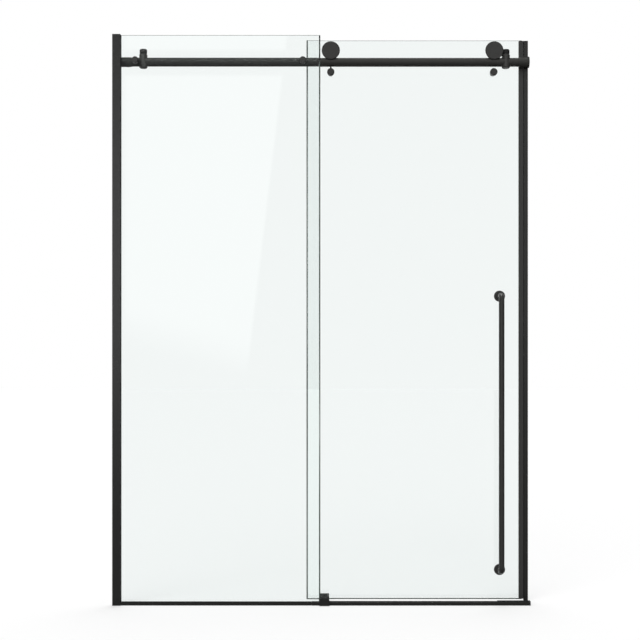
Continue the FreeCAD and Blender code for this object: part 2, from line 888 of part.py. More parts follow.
def anti_jump(side):
    """The bush under the rail that keeps the door from being lifted off."""
    x = wheel_x(side)
    y0 = wheel_front + anti_jump_front_inset
    collar = wheel_back + spacer_neck_gap
    y1 = door_front - fixing_gasket_thickness
    profile = [
        (0, y0),
        (anti_jump_radius - anti_jump_bevel, y0),
        (anti_jump_radius, y0 + anti_jump_bevel),
        (anti_jump_radius, wheel_back),
        (spacer_neck_radius, wheel_back),
        (spacer_neck_radius, collar),
        (anti_jump_collar_radius, collar),
        (anti_jump_collar_radius, y1),
        (0, y1),
    ]
    shape = turned_y(profile, x, anti_jump_z)
    bore = fixing_bolt_radius + seat_gap
    return shape.cut(rod_y(bore, x, wheel_back - fixing_thread_depth, y1 + cut_overrun, anti_jump_z))


def anti_jump_bolt(side):
    """The stud from an anti-jump bush through the glass into its cap nut."""
    y0 = wheel_back - fixing_thread_depth + seat_gap
    return rod_y(fixing_bolt_radius, wheel_x(side), y0, bolt_back(), anti_jump_z)


def anti_jump_button():
    """The small nylon button on top of the left bush, just under the rail."""
    z0 = anti_jump_z + anti_jump_radius
    z1 = rail_height - rail_radius - button_rail_gap
    sink = anti_jump_radius - math.sqrt(anti_jump_radius ** 2 - button_radius ** 2)
    shape = rod_z(button_radius, left_wheel_x, rail_y, z0 - sink, z1)
    return shape.cut(rod_y(anti_jump_radius, left_wheel_x, wheel_front, wheel_back, anti_jump_z))


# Handle

def handle_path(leg_start):
    """The centre line of the handle: leg, elbow, grip, elbow and leg."""
    bend = handle_bend_radius
    corner = bend * (1 - math.sqrt(0.5))
    bottom, top = handle_bottom, handle_top
    points = [
        (leg_start, bottom),
        (handle_y + bend, bottom),
        (handle_y + corner, bottom + corner),
        (handle_y, bottom + bend),
        (handle_y, top - bend),
        (handle_y + corner, top - corner),
        (handle_y + bend, top),
        (leg_start, top),
    ]
    p = [FreeCAD.Vector(handle_x, y, z) for y, z in points]
    edges = [
        Part.LineSegment(p[0], p[1]).toShape(),
        Part.Arc(p[1], p[2], p[3]).toShape(),
        Part.LineSegment(p[3], p[4]).toShape(),
        Part.Arc(p[4], p[5], p[6]).toShape(),
        Part.LineSegment(p[6], p[7]).toShape(),
    ]
    return Part.Wire(edges)


def handle_sweep(radius, leg_start):
    """A round bar along the handle's centre line."""
    centre = FreeCAD.Vector(handle_x, leg_start, handle_bottom)
    circle = Part.Wire(Part.makeCircle(radius, centre, Y_AXIS))
    return handle_path(leg_start).makePipeShell([circle], True, False)


def handle_bar():
    """The bent bar of the handle, with a threaded hole in each end."""
    y1 = door_front - fixing_gasket_thickness
    bar = handle_sweep(handle_radius, y1)
    for side in range(2):
        bore = fixing_bolt_radius + seat_gap
        y0 = y1 - handle_bolt_reach - seat_gap
        bar = bar.cut(rod_y(bore, handle_x, y0, y1 + cut_overrun, handle_z(side)))
    return bar


def handle_z(side):
    return handle_top if side else handle_bottom


def handle_flange(side):
    """The bevelled rosette around a handle leg, against the glass."""
    y1 = door_front - fixing_gasket_thickness
    y0 = y1 - handle_flange_thickness
    profile = [
        (handle_radius + seat_gap, y0),
        (handle_flange_radius - handle_flange_bevel, y0),
        (handle_flange_radius, y0 + handle_flange_bevel),
        (handle_flange_radius, y1),
        (handle_radius + seat_gap, y1),
    ]
    return turned_y(profile, handle_x, handle_z(side))


def handle_bolt(side):
    """The bolt that clamps a handle leg through the glass to its cap nut."""
    y0 = door_front - fixing_gasket_thickness - handle_bolt_reach
    return rod_y(fixing_bolt_radius, handle_x, y0, bolt_back(), handle_z(side))


# Bottom guide
guide_back = door_back + guide_glass_gap + guide_slot_wall + guide_back_wall
guide_slot_front = door_front - guide_glass_gap - guide_slot_wall
guide_slot_back = door_back + guide_glass_gap + guide_slot_wall
guide_screw_x = (guide_x0 + guide_x1) / 2
guide_screw_mid = (threshold_back + guide_slot_front) / 2


def guide_screw_y(side):
    return guide_screw_mid + (side - 0.5) * guide_screw_spacing


def guide_body():
    """The floor guide: it straddles the threshold, holds the edge of the fixed glass in a
    pocket and lets the door slide through a slot."""
    saddle_y0 = -threshold_front - guide_saddle_gap
    saddle_y1 = threshold_back + guide_saddle_gap
    saddle_z = threshold_height + guide_saddle_gap
    profile = [
        (-guide_front, 0),
        (saddle_y0, 0),
        (saddle_y0, saddle_z),
        (saddle_y1, saddle_z),
        (saddle_y1, 0),
        (guide_back, 0),
        (guide_back, guide_height),
        (guide_slot_back, guide_height),
        (guide_slot_back, guide_slot_floor),
        (guide_slot_front, guide_slot_floor),
        (guide_slot_front, guide_height),
        (-guide_front, guide_height),
    ]
    shape = drawn_x(profile, guide_x0, guide_x1)
    crest_edges = []
    for y in (-guide_front, guide_back):
        at_side = edges_along(shape, X_AXIS, y, 1)
        crest_edges += [edge for edge in at_side if edge.Vertexes[0].Z > guide_height - same_place]
    shape = shape.makeFillet(guide_fillet, crest_edges)
    wedge_corners = [
        FreeCAD.Vector(guide_x1, -guide_front - cut_overrun, 0),
        FreeCAD.Vector(guide_x1 + guide_taper, -guide_front - cut_overrun, 0),
        FreeCAD.Vector(guide_x1 + guide_taper, -guide_front - cut_overrun, guide_height),
        FreeCAD.Vector(guide_x1 - guide_taper, -guide_front - cut_overrun, guide_height),
    ]
    wedge = Part.Face(Part.makePolygon(wedge_corners + wedge_corners[:1]))
    shape = shape.cut(wedge.extrude(Y_AXIS * (guide_back + guide_front + 2 * cut_overrun)))
    pocket_y = glass_back + glass_slot_gap
    top = guide_height + cut_overrun
    pocket_x1 = fixed_right + glass_slot_gap
    shape = shape.cut(block(guide_x0 - cut_overrun, pocket_x1, -pocket_y, pocket_y, 0, top))
    for side in range(2):
        y = guide_screw_y(side)
        seat = guide_height - guide_screw_recess - guide_screw_head_length
        shape = shape.cut(rod_z(guide_screw_radius + seat_gap, guide_screw_x, y, 0, top))
        shape = shape.cut(rod_z(guide_screw_head_radius + guide_recess_gap, guide_screw_x, y, seat, top))
    return shape


def guide_liner():
    """The nylon U in the slot of the guide, in which the door glass runs."""
    y0, y1 = guide_slot_front, guide_slot_back
    inner0, inner1 = y0 + guide_slot_wall, y1 - guide_slot_wall
    floor = guide_slot_floor + guide_liner_floor
    profile = [
        (y0, guide_slot_floor),
        (y1, guide_slot_floor),
        (y1, guide_height),
        (inner1, guide_height),
        (inner1, floor),
        (inner0, floor),
        (inner0, guide_height),
        (y0, guide_height),
    ]
    return drawn_x(profile, guide_x0, guide_x1 - guide_taper)


def guide_screw(side):
    """A pan-head screw that fixes the guide to the floor."""
    y = guide_screw_y(side)
    seat = guide_height - guide_screw_recess - guide_screw_head_length
    shape = rod_z(guide_screw_radius, guide_screw_x, y, 0, seat)
    head = rod_z(guide_screw_head_radius, guide_screw_x, y, seat, seat + guide_screw_head_length)
    shape = shape.fuse(head)
    centre = FreeCAD.Vector(guide_screw_x, y, seat + guide_screw_head_length)
    return shape.cut(hexagon(grub_hex_radius, centre, -Z_AXIS, grub_hex_depth))


def wheel_back_cap(side):
    return back_cap(wheel_x(side), wheel_z, fixing_cap_radius)


def anti_jump_back_cap(side):
    return back_cap(wheel_x(side), anti_jump_z, anti_jump_cap_radius)


def handle_inner_cap(side):
    return back_cap(handle_x, handle_z(side), fixing_cap_radius)


def handle_bush(side):
    return door_bush(handle_x, handle_z(side), handle_flange_radius - handle_flange_bevel)


def build():
    """Every piece of the door under its own name."""
    parts = {
        "wall_channel": wall_channel(),
        "wall_channel_cap": wall_channel_cap(),
        "wall_channel_gaskets": wall_channel_gaskets(),
        "fixed_glass": fixed_glass(),
        "bottom_channel": bottom_channel(),
        "setting_blocks": setting_blocks(),
        "threshold": threshold(),
        "threshold_end_strip": threshold_end_strip(),
        "rail_tube": rail_tube(),
        "rail_socket_left": rail_socket(0),
        "rail_socket_right": rail_socket(1),
        "rail_grub_screws": both(rail_grub_screw),
        "stop_left": rail_stop(0),
        "stop_right": rail_stop(1),
        "stop_bumper_left": stop_bumper(0),
        "stop_bumper_right": stop_bumper(1),
        "stop_grub_screws": both(stop_grub_screw),
        "connector_cap_left": connector_cap(0),
        "connector_cap_right": connector_cap(1),
        "connector_gaskets": both(connector_gasket),
        "connector_bushes": both(connector_bush),
        "connector_standoff_left": connector_standoff(0),
        "connector_standoff_right": connector_standoff(1),
        "connector_bolts": both(connector_bolt),
        "jamb_right": jamb_right(),
        "jamb_cap": jamb_cap(),
        "jamb_magnet_strip": jamb_magnet_strip(),
        "guide_body": guide_body(),
        "guide_liner": guide_liner(),
        "guide_screws": both(guide_screw),
        "sliding_glass": sliding_glass(),
        "closing_strip": closing_strip(),
        "door_magnet_strip": door_magnet_strip(),
        "axle_bolts": both(axle_bolt),
        "axle_spacers": both(axle_spacer),
        "hanger_bushes": hanger_bushes(),
        "wheel_back_caps": both(wheel_back_cap),
        "bearing_inner_rings": both(bearing_inner_ring),
        "bearing_outer_ring_left": bearing_outer_ring(0),
        "bearing_outer_ring_right": bearing_outer_ring(1),
        "wheel_tyre_left": wheel_tyre(0),
        "wheel_tyre_right": wheel_tyre(1),
        "wheel_cover_left": wheel_cover(0),
        "wheel_cover_right": wheel_cover(1),
        "anti_jump_left": anti_jump(0),
        "anti_jump_right": anti_jump(1),
        "anti_jump_button": anti_jump_button(),
        "anti_jump_bolts": both(anti_jump_bolt),
        "anti_jump_back_caps": both(anti_jump_back_cap),
        "handle_bar": handle_bar(),
        "handle_flange_top": handle_flange(1),
        "handle_flange_bottom": handle_flange(0),
        "handle_bolts": both(handle_bolt),
        "handle_bushes": both(handle_bush),
        "handle_inner_caps": both(handle_inner_cap),
    }
    return parts


os.makedirs("parts", exist_ok=True)
for name, shape in build().items():
    shape.exportStep("parts/" + name + ".step")
    print(name, len(shape.Solids), round(shape.Volume, 1), shape.isValid())
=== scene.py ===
import math

import bmesh
import bpy
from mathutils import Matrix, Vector


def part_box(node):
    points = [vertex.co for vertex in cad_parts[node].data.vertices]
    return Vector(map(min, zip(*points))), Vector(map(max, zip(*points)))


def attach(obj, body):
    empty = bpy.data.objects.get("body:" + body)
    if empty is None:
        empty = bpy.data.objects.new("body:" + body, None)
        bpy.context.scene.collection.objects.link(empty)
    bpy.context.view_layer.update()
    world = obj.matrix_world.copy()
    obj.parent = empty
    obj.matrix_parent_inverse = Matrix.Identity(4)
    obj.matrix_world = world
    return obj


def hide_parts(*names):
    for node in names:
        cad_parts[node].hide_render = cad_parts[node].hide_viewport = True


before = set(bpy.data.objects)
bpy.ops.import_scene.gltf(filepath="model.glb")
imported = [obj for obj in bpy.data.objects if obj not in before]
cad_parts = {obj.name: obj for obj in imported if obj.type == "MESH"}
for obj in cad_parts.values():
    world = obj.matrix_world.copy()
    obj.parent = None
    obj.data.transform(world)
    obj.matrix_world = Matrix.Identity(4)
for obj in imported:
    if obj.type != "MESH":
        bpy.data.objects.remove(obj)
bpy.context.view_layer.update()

# Wall channel: a U of extruded aluminium, powder-coated satin black, that four screws hold to the
# left wall. The coat keeps the faint lines of the extrusion die and adds a fine orange peel.
EVEN = (1.0, 1.0, 1.0)
DRAWN_UPWARD = (1.0, 1.0, 0.004)
DRAWN_SIDEWAYS = (0.004, 1.0, 1.0)
GRAIN_ROUGHNESS = 0.55


class Value:
    """A socket of a node tree. Arithmetic on it adds the Math nodes that work it out."""

    def __init__(self, finish, socket):
        self.finish = finish
        self.socket = socket

    def maths(self, operation, first, second):
        return self.finish.node("ShaderNodeMath", {0: first, 1: second}, operation=operation)

    def __add__(self, other):
        return self.maths("ADD", self, other)

    def __sub__(self, other):
        return self.maths("SUBTRACT", self, other)

    def __rsub__(self, other):
        return self.maths("SUBTRACT", other, self)

    def __mul__(self, other):
        return self.maths("MULTIPLY", self, other)

    def __truediv__(self, other):
        return self.maths("DIVIDE", self, other)

    def __pow__(self, other):
        return self.maths("POWER", self, other)

    def __abs__(self):
        return self.maths("ABSOLUTE", self, 0.0)

    __radd__ = __add__
    __rmul__ = __mul__

    def most(self, other):
        return self.maths("MAXIMUM", self, other)

    def ease(self, start, end):
        """Runs smoothly from 0 at start to 1 at end, whichever of the two is larger."""
        sockets = {"Value": self, "From Min": start, "From Max": end}
        return self.finish.node("ShaderNodeMapRange", sockets, interpolation_type="SMOOTHSTEP")


class Finish:
    """A shader in the making: its node tree, and one method that adds any node to it."""

    def __init__(self, owner):
        owner.use_nodes = True
        self.owner = owner
        self.tree = owner.node_tree
        self.tree.nodes.clear()

    def node(self, kind, sockets=None, output=0, **settings):
        """Adds a node, makes its settings, fills or links its sockets and gives one output."""
        added = self.tree.nodes.new(kind)
        for name, setting in settings.items():
            setattr(added, name, setting)
        for name, value in (sockets or {}).items():
            if isinstance(value, Value):
                self.tree.links.new(value.socket, added.inputs[name])
            else:
                added.inputs[name].default_value = value
        return Value(self, added.outputs[output]) if added.outputs else None

    def mix(self, factor, first, second):
        """Goes from one colour to another, through the Mix node's sockets for colours."""
        sockets = {0: factor, 6: first, 7: second}
        return self.node("ShaderNodeMix", sockets, output=2, data_type="RGBA")

    def grain(self, place, scale, detail=2.0, stretch=EVEN):
        """Noise of so many features a metre, drawn out where the stretch is small."""
        drawn = self.node("ShaderNodeVectorMath", {0: place, 1: stretch}, operation="MULTIPLY")
        sockets = {"Vector": drawn, "Scale": scale, "Detail": detail, "Roughness": GRAIN_ROUGHNESS}
        return self.node("ShaderNodeTexNoise", sockets)

    def place(self):
        """Where a point is on the piece, in metres."""
        return self.node("ShaderNodeTexCoord", output="Object")

    def surface(self, height, depth, shine=0.5, **sockets):
        """Ends a material in one Principled shader, its relief as deep as given, in metres."""
        named = {name.replace("_", " ").title(): value for name, value in sockets.items()}
        named["Specular IOR Level"] = shine
        bump = {"Height": height, "Strength": 1.0, "Distance": depth}
        named["Normal"] = self.node("ShaderNodeBump", bump)
        shader = self.node("ShaderNodeBsdfPrincipled", named)
        self.node("ShaderNodeOutputMaterial", {"Surface": shader})
        return self.owner


def grey(level, warm=0.0):
    """A near-neutral colour, a touch warmer or greener where warm isn't zero."""
    return (level * (1 + warm), level * (1 + warm), level * (1 - warm), 1.0)


def powder_coat(name, stretch, level, gloss, shine=0.5):
    """Satin black coat on an extrusion whose die lines run where the stretch is small."""
    coat = Finish(bpy.data.materials.new(name))
    place = coat.place()
    lines = coat.grain(place, 700.0, detail=1.0, stretch=stretch)
    peel = coat.grain(place, 520.0, detail=3.0)
    handled = coat.grain(place, 5.0, detail=3.0)
    speck = coat.grain(place, 2600.0, detail=1.0).ease(0.62, 0.75)
    colour = coat.mix(handled, grey(level * 0.85, 0.02), grey(level * 1.2, 0.03))
    colour = coat.mix(speck * 0.35, colour, grey(level * 2.2, 0.02))
    roughness = gloss - 0.05 + handled * 0.08 + peel * 0.04
    relief = lines * 0.45 + peel * 0.55
    return coat.surface(relief, depth=0.00006, shine=shine, base_color=colour, roughness=roughness)


def dress(material, *names):
    """Gives CAD pieces their finish."""
    for name in names:
        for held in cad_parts[name].material_slots:
            held.material = material


upright_coat = powder_coat("upright_powder_coat", DRAWN_UPWARD, level=0.014, gloss=0.24)
dress(upright_coat, "wall_channel", "jamb_right")


def moulded_black(name, level, gloss, pits, shine=0.5):
    """Black moulded plastic with the fine spark-eroded grain of its mould, so many pits a metre."""
    plastic = Finish(bpy.data.materials.new(name))
    place = plastic.place()
    grain = plastic.grain(place, pits)
    worn = plastic.grain(place, 24.0, detail=3.0)
    colour = plastic.mix(worn, grey(level * 0.85), grey(level * 1.25))
    roughness = gloss + worn * 0.08 - grain * 0.05
    sockets = {"base_color": colour, "roughness": roughness}
    return plastic.surface(grain, depth=0.00008, shine=shine, **sockets)


cap_plastic = moulded_black("end_cap_plastic", level=0.018, gloss=0.5, pits=1400.0)
dress(cap_plastic, "wall_channel_cap", "jamb_cap")


def soft_black(name, level, gloss):
    """Black rubber or soft vinyl: matte, with a faint bloom on its surface."""
    rubber = Finish(bpy.data.materials.new(name))
    place = rubber.place()
    bloom = rubber.grain(place, 60.0, detail=4.0)
    skin = rubber.grain(place, 1800.0)
    colour = rubber.mix(bloom.ease(0.35, 0.75), grey(level), grey(level * 1.7))
    roughness = gloss + bloom * 0.15
    return rubber.surface(skin, depth=0.00005, base_color=colour, roughness=roughness)


gasket_vinyl = soft_black("gasket_vinyl", level=0.014, gloss=0.5)
dress(gasket_vinyl, "wall_channel_gaskets")

# Fixed pane: 10 mm clear tempered glass with pencil-ground, polished borders and two drilled
# holes. It stands on neoprene blocks in the bottom channel and is held by the wall channel and
# the rail. The grinding reaches BORDER_DEPTH in from the edge, and on top only TOP_SHARE of that.
GLASS_CORNER = 0.002
BORDER_DEPTH = 0.005
TOP_SHARE = 0.2
BORDER_STEPS = 10
CORNER_STEPS = 6
HOLE_RADIUS = 0.008
HOLE_SIDES = 32
SAME_PLACE = 0.000001


def pane_outline(low, high, inset):
    """The border of a pane, seen from the room, moved in by the inset and by less of it on top."""
    radius = max(GLASS_CORNER - inset, 0.0)
    reach = max(GLASS_CORNER, inset)
    corners = ((high.x - reach, high.z - reach), (low.x + reach, high.z - reach))
    corners += ((low.x + reach, low.z + reach), (high.x - reach, low.z + reach))
    points = []
    for quarter, (x, z) in enumerate(corners):
        on_top = quarter < 2
        if on_top:
            z += inset * (1 - TOP_SHARE)
        for step in range(CORNER_STEPS + 1):
            angle = (quarter + step / CORNER_STEPS) * math.pi / 2
            points.append((x + radius * math.cos(angle), z + radius * math.sin(angle)))
    return points


def ring_of_faces(mesh, first, second, smooth):
    """Joins two loops of as many points with faces."""
    for here in range(len(first)):
        after = (here + 1) % len(first)
        corners = (first[here], first[after], second[after], second[here])
        face = mesh.faces.new(corners)
        face.smooth = smooth


def glass_pane(name, node, holes, material, body):
    """A pane in the place of a CAD node, its whole border ground convex, with drilled holes."""
    low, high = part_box(node)
    middle = (low.y + high.y) / 2
    half_thickness = (high.y - low.y) / 2
    mesh = bmesh.new()
    loops = []
    for step in range(BORDER_STEPS + 1):
        angle = math.pi * step / BORDER_STEPS
        points = pane_outline(low, high, BORDER_DEPTH * (1 - math.sin(angle)))
        y = middle - half_thickness * math.cos(angle)
        loops.append([mesh.verts.new((x, y, z)) for x, z in points])
    for first, second in zip(loops, loops[1:]):
        ring_of_faces(mesh, first, second, True)
    for x, z in holes:
        rims = []
        for y in (low.y, high.y):
            rim = []
            for side in range(HOLE_SIDES):
                turn = 2 * math.pi * side / HOLE_SIDES
                place = (x + HOLE_RADIUS * math.cos(turn), y, z + HOLE_RADIUS * math.sin(turn))
                rim.append(mesh.verts.new(place))
            rims.append(rim)
        ring_of_faces(mesh, rims[1], rims[0], True)
    bmesh.ops.remove_doubles(mesh, verts=mesh.verts, dist=SAME_PLACE)
    for y in (low.y, high.y):
        rims = []
        for edge in mesh.edges:
            flush = all(abs(corner.co.y - y) < SAME_PLACE for corner in edge.verts)
            if edge.is_boundary and flush:
                rims.append(edge)
        bmesh.ops.triangle_fill(mesh, use_beauty=True, edges=rims)
    bmesh.ops.recalc_face_normals(mesh, faces=mesh.faces)
    data = bpy.data.meshes.new(name)
    mesh.to_mesh(data)
    mesh.free()
    data.materials.append(material)
    pane = bpy.data.objects.new(name, data)
    bpy.context.scene.collection.objects.link(pane)
    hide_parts(node)
    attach(pane, body)


def clear_glass(name, tint, edge, shade):
    """Clear glass. Its ground border is tinted nearly black: partly the deep green of the long way
    through the pane, partly painted shade for the dark line seen at a glass edge. On top that tint
    is left out, a painted highlight where light falls in, and its shadow is only a shade darker
    than the light."""
    glass = Finish(bpy.data.materials.new(name))
    facing = glass.node("ShaderNodeTexCoord", output="Normal")
    across = glass.node("ShaderNodeSeparateXYZ", {0: facing}, "Y")
    upward = glass.node("ShaderNodeSeparateXYZ", {0: facing}, "Z")
    border = abs(across).ease(0.9999, 0.992)
    # Painted highlight: on the upward-facing top border the dark tint is left out, as if the light
    # from above lit it.
    painted_lit_top = upward.ease(0.005, 0.06)
    # Painted shade: the border takes the near-black edge colour, darker than the green of the glass
    # alone.
    colour = glass.mix(border * (1.0 - painted_lit_top), tint, edge)
    film = glass.grain(glass.place(), 3.0, detail=3.0).ease(0.5, 0.9)
    roughness = film * 0.012 + border * 0.12
    sockets = {"Base Color": colour, "Roughness": roughness, "IOR": 1.5, "Transmission Weight": 1.0}
    body = glass.node("ShaderNodeBsdfPrincipled", sockets)
    passing = glass.node("ShaderNodeBsdfTransparent", {"Color": shade})
    shadow = glass.node("ShaderNodeLightPath", output="Is Shadow Ray")
    bounce = glass.node("ShaderNodeLightPath", output="Is Diffuse Ray")
    unseen = shadow.most(bounce)
    whole = glass.node("ShaderNodeMixShader", {0: unseen, 1: body, 2: passing})
    glass.node("ShaderNodeOutputMaterial", {"Surface": whole})
    return glass.owner


def hole_centres(*nodes):
    """Where the bolts of these CAD pieces pass through a pane."""
    centres = []
    for node in nodes:
        low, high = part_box(node)
        centres.append(((low.x + high.x) / 2, (low.z + high.z) / 2))
    return centres


pane_tint = (0.95, 0.987, 0.978, 1.0)
# Partly the deep green of the glass, partly painted shade: nearly black, for the dark line at a
# glass edge.
pane_edge_green_and_shade = (0.004, 0.006, 0.005, 1.0)
pane_shade = (0.93, 0.94, 0.937, 1.0)
pane_glass = clear_glass("pane_glass", pane_tint, pane_edge_green_and_shade, pane_shade)
caps = hole_centres("connector_cap_left", "connector_cap_right")
glass_pane("fixed_pane", "fixed_glass", caps, pane_glass, "frame")

# Bottom channel and setting blocks: a low aluminium U on the floor under the fixed pane, coated
# like the uprights, and the neoprene blocks in it that the glass stands on.
level_coat = powder_coat("level_powder_coat", DRAWN_SIDEWAYS, level=0.022, gloss=0.7, shine=0.1)
dress(level_coat, "bottom_channel")
block_rubber = soft_black("neoprene", level=0.011, gloss=0.7)
dress(block_rubber, "setting_blocks")

# Threshold: the bevelled bar across the doorway that keeps the water in, coated like the
# channels, with a thin foam pad at its closing end under the corner of the door.
dress(level_coat, "threshold")
pad_foam = soft_black("pad_foam", level=0.008, gloss=0.8)
dress(pad_foam, "threshold_end_strip")


# Rail and sockets: a drawn stainless tube under a baked satin black coat, with a turned socket
# screwed to each wall that it slides into, clamped by a small set screw from below.
def baked_coat(name, level, gloss, stretch=EVEN, shine=0.5):
    """Satin black baked coat on drawn or turned steel, smoother than powder coat."""
    coat = Finish(bpy.data.materials.new(name))
    place = coat.place()
    drawn = coat.grain(place, 900.0, stretch=stretch)
    peel = coat.grain(place, 300.0)
    handled = coat.grain(place, 14.0, detail=3.0)
    colour = coat.mix(handled, grey(level * 0.88, 0.02), grey(level * 1.15, 0.03))
    roughness = gloss - 0.04 + handled * 0.1
    relief = drawn * 0.4 + peel * 0.6
    return coat.surface(relief, depth=0.00004, shine=shine, base_color=colour, roughness=roughness)


rail_coat = baked_coat("rail_coat", level=0.04, gloss=0.36, stretch=DRAWN_SIDEWAYS, shine=0.15)
dress(rail_coat, "rail_tube", "rail_socket_left", "rail_socket_right")


def plain_steel(name, gloss, level=0.56):
    """Turned steel: bare and lightly passivated where the level is high, else blackened."""
    steel = Finish(bpy.data.materials.new(name))
    place = steel.place()
    turned = steel.grain(place, 2200.0, stretch=(1.0, 0.05, 1.0))
    dull = steel.grain(place, 90.0, detail=3.0)
    colour = steel.mix(dull, grey(level * 0.9), grey(level * 1.12))
    roughness = gloss + dull * 0.15
    sockets = {"base_color": colour, "roughness": roughness, "metallic": 1.0}
    return steel.surface(turned, depth=0.00002, **sockets)


dark_steel = plain_steel("dark_steel", gloss=0.36, level=0.05)
dress(dark_steel, "rail_grub_screws", "stop_grub_screws", "guide_screws")

# Connectors: a bevelled cap in front of the fixed pane and a post behind it, scooped to the rail.
# The threaded rod between them runs in a flanged bush, and a vinyl washer lies behind the glass.
turned_coat = baked_coat("turned_coat", level=0.036, gloss=0.4)
dress(turned_coat, "connector_cap_left", "connector_cap_right")
dress(turned_coat, "connector_standoff_left", "connector_standoff_right")
fastener_steel = plain_steel("fastener_steel", gloss=0.28)
dress(fastener_steel, "connector_bolts")
dress(gasket_vinyl, "connector_gaskets", "connector_bushes")

# Stops: a rounded steel block bored for the rail and clamped on it by a set screw, one at each
# end of the travel. A rubber bumper on top of each meets the edge of the wheel.
dress(turned_coat, "stop_left", "stop_right")
bumper_rubber = soft_black("bumper_rubber", level=0.009, gloss=0.55)
dress(bumper_rubber, "stop_bumper_left", "stop_bumper_right")

# Jamb magnet and closing edge: the jamb on the right wall and the profile pushed on the edge of
# the door each hold a flexible magnetic strip in a black sheath, and the two pull together.
strip_plastic = powder_coat("closing_strip_coat", DRAWN_UPWARD, level=0.032, gloss=0.46)
dress(strip_plastic, "closing_strip")
magnet_sheath = soft_black("magnet_sheath", level=0.012, gloss=0.55)
dress(magnet_sheath, "jamb_magnet_strip", "door_magnet_strip")

# Floor guide: a moulded block screwed to the floor beside the fixed pane's free edge. It
# straddles the threshold and steadies the door in a nylon-lined slot.
guide_plastic = moulded_black("guide_plastic", level=0.023, gloss=0.75, pits=1100.0, shine=0.05)
dress(guide_plastic, "guide_body")
liner_nylon = moulded_black("liner_nylon", level=0.008, gloss=0.38, pits=700.0)
dress(liner_nylon, "guide_liner")

# Door pane: the same 10 mm glass, ground round all over its border and drilled for the wheels,
# the anti-jump bushes and the handle.
fittings = hole_centres("wheel_tyre_left", "wheel_tyre_right", "anti_jump_left", "anti_jump_right")
fittings += hole_centres("handle_flange_top", "handle_flange_bottom")
glass_pane("door_pane", "sliding_glass", fittings, pane_glass, "door")

# Wheels: turned nylon tyres hollowed to the rail, each on a sealed ball bearing and hidden in
# front by a bevelled steel disc, which shows the rings of the lathe through its coat.


def lathe_coat(name, node, level=0.029, gloss=0.4):
    """Satin black coat over the turning rings of a round piece whose axis lies along Y."""
    coat = Finish(bpy.data.materials.new(name))
    low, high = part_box(node)
    centre = (low + high) / 2
    place = coat.place()
    arm = coat.node("ShaderNodeVectorMath", {0: place, 1: centre}, operation="SUBTRACT")
    across = coat.node("ShaderNodeSeparateXYZ", {0: arm}, "X")
    upward = coat.node("ShaderNodeSeparateXYZ", {0: arm}, "Z")
    radius = (across * across + upward * upward) ** 0.5
    flat = coat.node("ShaderNodeCombineXYZ", {"X": radius})
    rings = coat.grain(flat, 1500.0)
    peel = coat.grain(place, 420.0)
    handled = coat.grain(place, 30.0, detail=3.0)
    colour = coat.mix(handled, grey(level * 0.88, 0.02), grey(level * 1.15, 0.03))
    roughness = gloss - 0.04 + handled * 0.1
    relief = rings * 0.6 + peel * 0.4
    return coat.surface(relief, depth=0.00004, base_color=colour, roughness=roughness)


for side in ("left", "right"):
    cover = "wheel_cover_" + side
    dress(lathe_coat(cover + "_coat", cover), cover)
tyre_nylon = moulded_black("tyre_nylon", level=0.012, gloss=0.34, pits=500.0)
dress(tyre_nylon, "wheel_tyre_left", "wheel_tyre_right")
bearing_steel = plain_steel("bearing_steel", gloss=0.18)
dress(bearing_steel, "bearing_outer_ring_left", "bearing_outer_ring_right", "bearing_inner_rings")

# Hangers: a socket-head bolt, a collared spacer, a flanged bush and a bevelled cap nut carry the
# door pane on each wheel.


def natural_nylon(name, cloudy, milky):
    """Uncoloured moulded nylon, milkier in soft clouds."""
    nylon = Finish(bpy.data.materials.new(name))
    cloud = nylon.grain(nylon.place(), 220.0)
    colour = nylon.mix(cloud, cloudy, milky)
    roughness = 0.3 + cloud * 0.15
    return nylon.surface(cloud, depth=0.00004, base_color=colour, roughness=roughness)


cloudy_white = (0.62, 0.66, 0.64, 1.0)
milky_white = (0.78, 0.81, 0.80, 1.0)
bush_nylon = natural_nylon("bush_nylon", cloudy_white, milky_white)
dress(fastener_steel, "axle_bolts")
dress(turned_coat, "axle_spacers", "wheel_back_caps")
dress(bush_nylon, "hanger_bushes")

# Anti-jump bushes: turned steel buttons under the rail that keep the door from being lifted off.
# The left one carries a small nylon pad.
for side in ("left", "right"):
    bush = "anti_jump_" + side
    dress(lathe_coat(bush + "_coat", bush), bush)
dress(liner_nylon, "anti_jump_button")
dress(fastener_steel, "anti_jump_bolts")
dress(turned_coat, "anti_jump_back_caps")

# Handle: a bar bent to a long pull, coated satin black, with a rosette round each leg and a cap
# nut on the shower side.
handle_coat = baked_coat("handle_coat", level=0.034, gloss=0.3, stretch=DRAWN_UPWARD, shine=0.3)
dress(handle_coat, "handle_bar")
dress(turned_coat, "handle_flange_top", "handle_flange_bottom", "handle_inner_caps")
dress(fastener_steel, "handle_bolts")
dress(bush_nylon, "handle_bushes")

